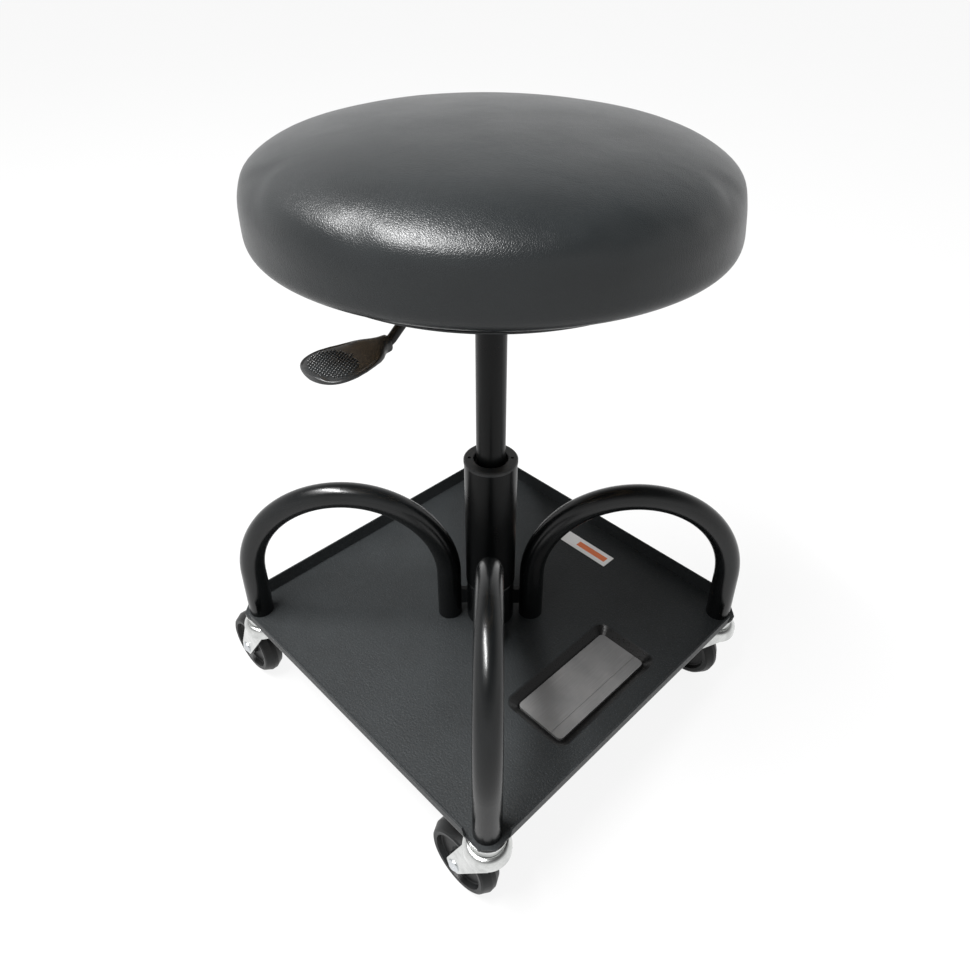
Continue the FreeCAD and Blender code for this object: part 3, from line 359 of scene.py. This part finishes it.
def stage():
    """Pale floor and surround, and a broad and a narrow key lamp from above.

    Mirrored rays see the floor and the horizon pale and the surround darker overhead.
    """
    scene = bpy.context.scene
    scene.view_settings.view_transform = "Standard"

    mesh = bpy.data.meshes.new("floor")
    build = bmesh.new()
    bmesh.ops.create_grid(build, x_segments=8, y_segments=8, size=FLOOR_HALF)
    build.to_mesh(mesh)
    build.free()
    floor = bpy.data.objects.new("floor", mesh)
    scene.collection.objects.link(floor)
    t = Tree("floor_pale")
    grain = t.noise(3, 2)
    t.set(Base_Color=t.mix(grain, grey(0.76), grey(0.80)), Roughness=0.9)
    t.set(Specular_IOR_Level=0.1)
    path = t.nodes.new("ShaderNodeLightPath")
    seen = t.math("MAXIMUM", path.outputs["Is Camera Ray"], path.outputs["Is Glossy Ray"])
    seen = t.math("MAXIMUM", seen, path.outputs["Is Transmission Ray"])
    glow = t.add("ShaderNodeEmission", Color=(1, 1, 1, 1), Strength=1.0)
    blend = t.nodes.new("ShaderNodeMixShader")
    t.links.new(t.math("MULTIPLY", seen, FLOOR_GLOW), blend.inputs[0])
    t.links.new(t.shader.outputs[0], blend.inputs[1])
    t.links.new(glow.outputs[0], blend.inputs[2])
    t.links.new(blend.outputs[0], t.nodes["Material Output"].inputs["Surface"])
    mesh.materials.append(t.material)

    world = bpy.data.worlds.new("surround")
    scene.world = world
    world.use_nodes = True
    nodes, links = world.node_tree.nodes, world.node_tree.links
    nodes.clear()
    path = nodes.new("ShaderNodeLightPath")
    coords = nodes.new("ShaderNodeTexCoord")
    split = nodes.new("ShaderNodeSeparateXYZ")
    links.new(coords.outputs["Generated"], split.inputs[0])
    rise = nodes.new("ShaderNodeMapRange")
    links.new(split.outputs["Z"], rise.inputs["Value"])
    for key, value in zip(("From Min", "From Max", "To Min", "To Max"), MIRRORED_SKY):
        rise.inputs[key].default_value = value
    either = nodes.new("ShaderNodeMath")
    either.operation = "MAXIMUM"
    links.new(path.outputs["Is Glossy Ray"], either.inputs[0])
    links.new(path.outputs["Is Transmission Ray"], either.inputs[1])
    pale = nodes.new("ShaderNodeMix")
    links.new(either.outputs[0], pale.inputs[0])
    pale.inputs[2].default_value = FILL
    links.new(rise.outputs["Result"], pale.inputs[3])
    white = nodes.new("ShaderNodeMix")
    links.new(path.outputs["Is Camera Ray"], white.inputs[0])
    links.new(pale.outputs[0], white.inputs[2])
    white.inputs[3].default_value = 1.0
    shine = nodes.new("ShaderNodeBackground")
    shine.inputs["Color"].default_value = (1.0, 1.0, 1.0, 1.0)
    links.new(white.outputs[0], shine.inputs["Strength"])
    out = nodes.new("ShaderNodeOutputWorld")
    links.new(shine.outputs[0], out.inputs["Surface"])

    def lamp(name, towards, wide, deep, power):
        data = bpy.data.lights.new(name, "AREA")
        data.shape = "RECTANGLE"
        data.size, data.size_y = wide, deep
        data.energy = power
        obj = bpy.data.objects.new(name, data)
        scene.collection.objects.link(obj)
        direction = Vector(towards).normalized()
        obj.location = LAMP_AIM + direction * LAMP_DISTANCE
        obj.rotation_mode = "QUATERNION"
        obj.rotation_quaternion = direction.to_track_quat("Z", "Y")

    lamp("key_broad", (-0.26, -0.40, 0.88), 1.9, 0.95, 26)
    lamp("key_core", (-0.14, -0.37, 0.90), 1.5, 0.24, 122)


def camera():
    """The main viewpoint: from above, a little to the front, close to the seat."""
    data = bpy.data.cameras.new("camera")
    data.sensor_width = 36.0
    data.lens = CAMERA_LENS
    data.shift_x, data.shift_y = CAMERA_SHIFT
    obj = bpy.data.objects.new("camera", data)
    bpy.context.scene.collection.objects.link(obj)
    turn = Matrix((CAMERA_RIGHT, CAMERA_UP, CAMERA_BACK)).transposed().to_4x4()
    obj.matrix_world = Matrix.Translation(CAMERA_PLACE) @ turn
    bpy.context.scene.camera = obj


stage()
camera()

# ------------------------------------------------------------------ mesh helpers


def piece(name, mesh, material, body, smooth=True):
    """Put a mesh in the scene as a piece that rides on a body."""
    obj = bpy.data.objects.new(name, mesh)
    bpy.context.scene.collection.objects.link(obj)
    mesh.materials.append(material)
    if smooth:
        mesh.shade_smooth()
    bpy.context.view_layer.update()
    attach(obj, body)
    return obj


def revolved(name, outline, segments):
    """Closed skin of revolution about Z from (r, z) points; a radius of 0 makes a pole."""
    build = bmesh.new()
    rings = []
    for r, z in outline:
        if r < 1e-6:
            rings.append([build.verts.new((0, 0, z))])
            continue
        ring = []
        for k in range(segments):
            angle = 2 * math.pi * k / segments
            ring.append(build.verts.new((r * math.cos(angle), r * math.sin(angle), z)))
        rings.append(ring)
    for a, b in zip(rings, rings[1:]):
        for k in range(segments):
            n = (k + 1) % segments
            if len(a) == 1:
                build.faces.new((a[0], b[n], b[k]))
            elif len(b) == 1:
                build.faces.new((a[k], a[n], b[0]))
            else:
                build.faces.new((a[k], a[n], b[n], b[k]))
    bmesh.ops.recalc_face_normals(build, faces=build.faces)
    mesh = bpy.data.meshes.new(name)
    build.to_mesh(mesh)
    build.free()
    return mesh


# ------------------------------------------------------------------ seat cushion

board_low, board_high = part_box("seat_board")
cover_low, cover_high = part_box("seat_cover")
SEAT_R = cover_high.x
SEAT_TOP = cover_high.z
SEAT_FOOT = cover_low.z
SEAT_WIDEST = 0.5635             # height at which the side bulges most
SIDE_POWER = 3.81                # roundness of the side above that height
FOOT_POWER = 4.96                # and below it
SEAT_TALL = 0.0982
INSET_SPAN = 0.098               # height over which an inset outline is scaled
BOARD_R = board_high.x
BOARD_GAP = 0.0006               # between the cushion and the board
BOARD_EDGE = 0.004               # what lies nearer the board than this is held by it

CLOTH_START_INSET = 0.0010
CLOTH_HELD_EDGE = 0.005
VOXEL = 0.0055
CLOTH_FRAMES = 20
SWELL_REACH = 0.030
SWELL_OUT = 0.0014
SWELL_IN = -0.0003
SLUMP = 0.0042
RIPPLE = 0.0007


def beyond_board(co, edge=BOARD_EDGE):
    """True for a cushion point that the board doesn't hold."""
    return math.hypot(co.x, co.y) > BOARD_R + edge or co.z > board_high.z + BOARD_EDGE


def seat_side(z):
    """Radius of the cushion's side and crown at a height."""
    if z >= SEAT_WIDEST:
        s = (z - SEAT_WIDEST) / (SEAT_TOP - SEAT_WIDEST)
        power = SIDE_POWER
    else:
        s = (SEAT_WIDEST - z) / (SEAT_WIDEST - SEAT_FOOT)
        power = FOOT_POWER
    return SEAT_R * math.sqrt(max(0.0, 1 - abs(s) ** power))


def cushion_outline(inset):
    """The cushion's (r, z) points: over the board, down its rim, out and up to the crown."""
    def drawn_in(z):
        return SEAT_FOOT + (z - SEAT_FOOT) * (1 - inset / INSET_SPAN) + inset * 0.4

    rim = BOARD_R + BOARD_GAP
    over = board_high.z + BOARD_GAP
    out = [(0.0, over), (0.05, over), (0.10, over), (BOARD_R - 0.006, over), (rim, over),
           (rim, board_high.z - 0.006), (rim, SEAT_FOOT + 0.0016),
           (rim + 0.003, SEAT_FOOT + inset)]
    steps = 34
    for k in range(1, steps):
        turn = math.pi * k / steps
        below = turn < math.pi / 2
        span = SEAT_WIDEST - SEAT_FOOT if below else SEAT_TOP - SEAT_WIDEST
        z = SEAT_WIDEST - span * math.cos(turn)
        r = seat_side(z)
        if below and r < BOARD_R + 0.006:
            continue
        out.append((r * (1 - inset / SEAT_R), drawn_in(z)))
    last_r = out[-1][0]
    for share in (0.8, 0.6, 0.4, 0.2):
        r = last_r * share
        s = (1 - (r / SEAT_R) ** 2) ** (1 / SIDE_POWER)
        out.append((r, drawn_in(SEAT_WIDEST + (SEAT_TOP - SEAT_WIDEST) * s)))
    out.append((0.0, drawn_in(SEAT_FOOT + SEAT_TALL)))
    return out


def lean(x, y, z):
    """The cushion's own unevenness: the fill has slumped a little towards +X."""
    side = max(0.0, (x * 0.80 + y * 0.60) / SEAT_R)
    low = max(0.0, 1 - (z - SEAT_FOOT) / 0.075)
    out = Vector((x, y, 0)).normalized() * SLUMP * side * min(1.0, low * 1.6)
    ripple = noise.noise(Vector((x, y, z)) * 16.0) * RIPPLE
    return out + Vector((x, y, z * 0.3)).normalized() * ripple


def blown_up(mesh):
    """Blow up a remeshed copy as cloth; gives its rest points and how far each one moved out."""
    copy = bpy.data.objects.new("cloth_copy", mesh.copy())
    bpy.context.scene.collection.objects.link(copy)
    remesh = copy.modifiers.new("voxels", "REMESH")
    remesh.mode = "VOXEL"
    remesh.voxel_size = VOXEL
    even = copy.modifiers.new("even", "SMOOTH")
    even.iterations = 4
    bpy.context.view_layer.update()
    graph = bpy.context.evaluated_depsgraph_get()
    copy.data = bpy.data.meshes.new_from_object(copy.evaluated_get(graph))
    copy.modifiers.clear()
    before = [(v.co.copy(), v.normal.copy()) for v in copy.data.vertices]
    cloth = copy.modifiers.new("cloth", "CLOTH")
    settings = cloth.settings
    settings.quality = 5
    settings.mass = 0.3
    settings.tension_stiffness = settings.compression_stiffness = 15
    settings.shear_stiffness = 5
    settings.bending_stiffness = 0.5
    settings.use_pressure = True
    settings.uniform_pressure_force = 4.0
    settings.effector_weights.gravity = 0
    held = copy.vertex_groups.new(name="held")
    for index, (co, _) in enumerate(before):
        if not beyond_board(co, CLOTH_HELD_EDGE):
            held.add([index], 1.0, "REPLACE")
    settings.vertex_group_mass = "held"
    scene = bpy.context.scene
    for step in range(1, CLOTH_FRAMES + 1):
        scene.frame_set(step)
    shaped = copy.evaluated_get(bpy.context.evaluated_depsgraph_get()).data
    moves = [(old, (new.co - old).dot(normal))
             for (old, normal), new in zip(before, shaped.vertices)]
    scene.frame_set(1)
    bpy.data.objects.remove(copy)
    return moves


def swell(mesh, moves):
    """Move each vertex by what the cloth nearby moved, capped and fading out at the board."""
    tree = KDTree(len(moves))
    for index, (co, _) in enumerate(moves):
        tree.insert(co, index)
    tree.balance()
    targets = []
    for v in mesh.vertices:
        total = weight = 0.0
        for _, index, distance in tree.find_range(v.co, SWELL_REACH):
            share = (1 - distance / SWELL_REACH) ** 2
            total += moves[index][1] * share
            weight += share
        out = max(SWELL_IN, min(SWELL_OUT, total / weight if weight else 0.0))
        fade = min(1.0, max(0.0, (v.co.z - SEAT_FOOT - 0.006) / 0.020))
        if not beyond_board(v.co):
            fade = 0.0
        targets.append(v.co + v.normal * out * fade)
    for v, target in zip(mesh.vertices, targets):
        v.co = target


def cushion():
    """Crowned vinyl cushion over the board's rim, swollen by the cloth pressure."""
    mesh = revolved("seat_cushion", cushion_outline(CLOTH_START_INSET), 160)
    obj = bpy.data.objects.new("seat_cushion", mesh)
    bpy.context.scene.collection.objects.link(obj)
    bpy.context.view_layer.update()
    swell(mesh, blown_up(mesh))
    side = max(math.hypot(v.co.x, v.co.y) for v in mesh.vertices)
    top = max(v.co.z for v in mesh.vertices)
    for v in mesh.vertices:
        if beyond_board(v.co):
            high = max(0.0, (v.co.z - SEAT_FOOT) / (top - SEAT_FOOT))
            grow = 1 + (SEAT_R / side - 1) * min(1.0, high * 4)
            v.co.x *= grow
            v.co.y *= grow
            v.co.z += (SEAT_TOP - top) * high
    for v in mesh.vertices:
        if beyond_board(v.co):
            v.co += lean(*v.co)
    mesh.materials.append(VINYL)
    mesh.shade_smooth()
    sub = obj.modifiers.new("smooth", "SUBSURF")
    sub.levels = sub.render_levels = 1
    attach(obj, "lift")
    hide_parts("seat_cover", "seat_foam")


HEM_INNER = 0.139
HEM_OUTER = BOARD_R + 0.0075
HEM_ROWS = 9
PLEATS = 36
STAPLE_COUNT = 40
STAPLE_RING = 0.1445
STAPLE_SIZE = (0.0011, 0.0095, 0.0006)


def hem():
    """The cover's edge turned in under the board: a ring of gathered vinyl with its pleats."""
    top = board_low.z - 0.0002
    segments = PLEATS * 12
    build = bmesh.new()
    rings = []
    for side in (0, 1):
        for j in range(HEM_ROWS):
            t = j / (HEM_ROWS - 1)
            ring = []
            for k in range(segments):
                angle = 2 * math.pi * k / segments
                pleat = max(0.0, math.sin(angle * PLEATS + 1.3 * math.sin(angle * 5))) ** 3
                edge = Vector((math.cos(angle) * 9, math.sin(angle) * 9, 4))
                ragged = 0.0016 * noise.noise(edge)
                radius = HEM_INNER + ragged * (1 - t) + (HEM_OUTER - HEM_INNER) * t
                depth = 0.0012 + 0.0011 * pleat * (1 - t) ** 0.7 + 0.0005 * t
                z = top - (depth if side == 0 else 0.0)
                ring.append(build.verts.new((radius * math.cos(angle),
                                             radius * math.sin(angle), z)))
            rings.append(ring)
    order = rings[:HEM_ROWS] + rings[HEM_ROWS:][::-1]
    for a, b in zip(order, order[1:] + order[:1]):
        for k in range(segments):
            n = (k + 1) % segments
            build.faces.new((a[k], a[n], b[n], b[k]))
    bmesh.ops.recalc_face_normals(build, faces=build.faces)
    mesh = bpy.data.meshes.new("seat_hem")
    build.to_mesh(mesh)
    build.free()
    piece("seat_hem", mesh, VINYL, "lift")


def staples():
    """Flat wire staples that hold the turned hem to the board."""
    build = bmesh.new()
    for k in range(STAPLE_COUNT):
        angle = 2 * math.pi * (k + 0.3 * noise.noise(Vector((k * 1.7, 0, 0)))) / STAPLE_COUNT
        turn = Matrix.Rotation(angle + 0.25 * noise.noise(Vector((0, k * 2.3, 0))), 4, "Z")
        centre = Vector((STAPLE_RING * math.cos(angle), STAPLE_RING * math.sin(angle),
                         board_low.z - 0.0030))
        made = bmesh.ops.create_cube(build, size=1.0)["verts"]
        shape = Matrix.Translation(centre) @ turn @ Matrix.Diagonal((*STAPLE_SIZE, 1))
        bmesh.ops.transform(build, matrix=shape, verts=made)
    bmesh.ops.bevel(build, geom=build.edges[:], offset=0.0002, segments=2, affect="EDGES")
    mesh = bpy.data.meshes.new("hem_staples")
    build.to_mesh(mesh)
    build.free()
    piece("hem_staples", mesh, ZINC, "lift", smooth=False)


# ------------------------------------------------------------------ lever paddle

paddle_low, paddle_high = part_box("lever_paddle")
PADDLE_X = (paddle_low.x + paddle_high.x) / 2
PADDLE_NECK = paddle_high.y
ROD_Z = (paddle_low.z + paddle_high.z) / 2
PADDLE_LONG = 0.0700
TIP_START = 0.046                # where the blunt tip begins, measured from the neck
TIP_POWER = 2.7
NECK_THICK = 0.0066              # half thickness at the neck and of the leaf
LEAF_THICK = 0.0029
BOXINESS = 0.45                  # power that flattens the leaf's section
FIELD_DEPTH = 0.0009             # how far the field lies below the rim
DOT_PITCH = 0.0028
DOT_SIZE = (0.00090, 0.00090, 0.00085)
DOT_SINK = 0.0005
DOT_FIELD = (0.0205, 0.0165)     # half width and half length of the dotted oval
DOT_CENTRE = 0.0500
# distance from the neck, half width
HALF_WIDTH = ((0.000, 0.0070), (0.005, 0.0076), (0.009, 0.0102), (0.014, 0.0145),
              (0.020, 0.0180), (0.028, 0.0210), (0.037, 0.0237), (0.046, 0.0252))


def paddle_section(d):
    """Half width, centre line's x, its rise and the half thickness at d from the neck."""
    if d >= TIP_START:
        s = (d - TIP_START) / (PADDLE_LONG - TIP_START)
        half = HALF_WIDTH[-1][1] * max(0.0, 1 - s ** TIP_POWER) ** (1 / TIP_POWER)
    else:
        for (d0, h0), (d1, h1) in zip(HALF_WIDTH, HALF_WIDTH[1:]):
            if d <= d1:
                half = h0 + (h1 - h0) * (d - d0) / (d1 - d0)
                break
    blend = min(1.0, d / 0.034)
    blend = blend * blend * (3 - 2 * blend)
    thick = NECK_THICK + (LEAF_THICK - NECK_THICK) * blend
    thick *= 1 - 0.25 * max(0.0, (d - 0.050) / 0.020)
    droop = -0.0016 * max(0.0, (d - 0.040) / 0.030) ** 2
    return max(half, 0.0012), PADDLE_X + 0.0018 * blend, 0.0012 * blend + droop, thick


def paddle():
    """Thin blunt leaf moulded round the rod's end, with a raised rim round a shallow field."""
    build = bmesh.new()
    steps, around = 96, 72
    rings = []
    for i in range(steps + 1):
        d = PADDLE_LONG * (1 - (1 - i / steps) ** 1.9)
        half, middle, rise, thick = paddle_section(d)
        field = max(0.0, min(1.0, (d - 0.016) / 0.010))
        field *= max(0.0, min(1.0, (0.0672 - d) / 0.003))
        flat = min(1.0, d / 0.018)
        power = 1.0 + (BOXINESS - 1.0) * flat
        ring = []
        for k in range(around):
            angle = 2 * math.pi * k / around
            cx, cz = math.cos(angle), math.sin(angle)
            u = math.copysign(abs(cx) ** power, cx)
            w = math.copysign(abs(cz) ** (1.0 - 0.15 * flat), cz)
            z = w * thick
            if cz > 0:
                rim = min(1.0, max(0.0, ((1 - abs(u)) * half - 0.0012) / 0.0020))
                z -= FIELD_DEPTH * field * rim * rim * (3 - 2 * rim)
            ring.append(build.verts.new((middle + u * half, PADDLE_NECK - d, ROD_Z + rise + z)))
        rings.append(ring)
    for a, b in zip(rings, rings[1:]):
        for k in range(around):
            n = (k + 1) % around
            build.faces.new((a[k], a[n], b[n], b[k]))
    build.faces.new(rings[0][::-1])
    build.faces.new(rings[-1])
    bmesh.ops.recalc_face_normals(build, faces=build.faces)
    mesh = bpy.data.meshes.new("lever_grip")
    build.to_mesh(mesh)
    build.free()
    obj = piece("lever_grip", mesh, PLASTIC, "lever")
    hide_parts("lever_paddle")


def dots():
    """Small round bumps in staggered rows over the paddle's field."""
    build = bmesh.new()
    for i in range(-8, 9):
        for j in range(0, 15):
            d = 0.0335 + j * DOT_PITCH * 0.866
            half, middle, rise, thick = paddle_section(d)
            x = (i + 0.5 * (j % 2)) * DOT_PITCH
            oval = math.hypot(x / DOT_FIELD[0], (d - DOT_CENTRE) / DOT_FIELD[1])
            if oval > 1.0 or abs(x) > half - 0.0042:
                continue
            u = (abs(x) / half) ** (1 / BOXINESS)
            z = ROD_Z + rise + thick * (1 - u * u) ** 0.425 - DOT_SINK
            place = Matrix.Translation((middle + x, PADDLE_NECK - d, z))
            made = bmesh.ops.create_icosphere(build, subdivisions=2, radius=1.0)["verts"]
            bmesh.ops.transform(build, matrix=place @ Matrix.Diagonal((*DOT_SIZE, 1)),
                                verts=made)
    mesh = bpy.data.meshes.new("grip_dots")
    build.to_mesh(mesh)
    build.free()
    piece("grip_dots", mesh, LIT_DOTS, "lever")


cushion()
hem()
staples()
paddle()
dots()
